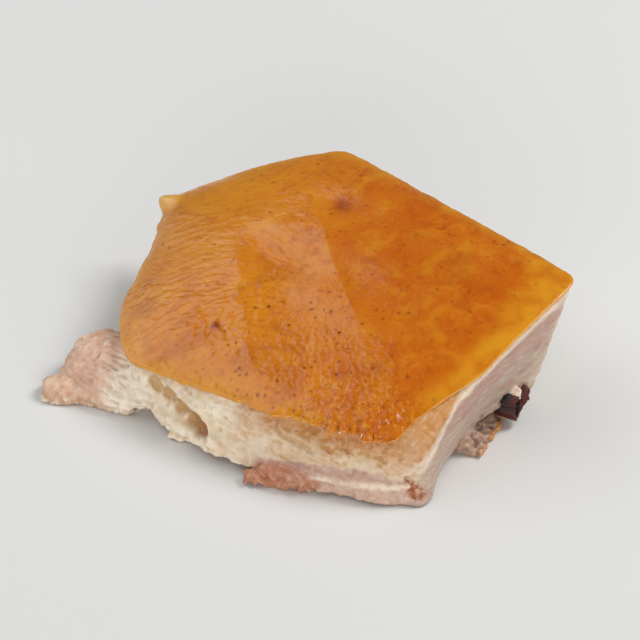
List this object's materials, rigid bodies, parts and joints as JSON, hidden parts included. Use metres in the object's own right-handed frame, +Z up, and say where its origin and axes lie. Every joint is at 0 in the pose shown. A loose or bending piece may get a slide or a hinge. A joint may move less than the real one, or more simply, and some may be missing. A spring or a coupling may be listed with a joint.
{
  "type": "roast suckling pig portion",
  "caption": "Chopped portion of roast suckling pig: a sloping slab of pale meat and rib end under a domed sheet of glossy amber skin.",
  "frame": {"origin": "under the middle of the portion, on the surface it rests on", "axes": "+Z up through the skin, +X along the long front cut face towards the smooth right cut face, -Y out of the front cut face"},
  "size_m": [0.1008, 0.083, 0.0319],
  "materials": {
    "roast_skin": "glossy amber roast skin over cream fat and pale pink meat",
    "charred_rib": "browned bone, dull"
  },
  "bodies": {
    "root": {"roast_portion": "roast_skin", "rib_bone": "charred_rib"}
  },
  "joints": []
}
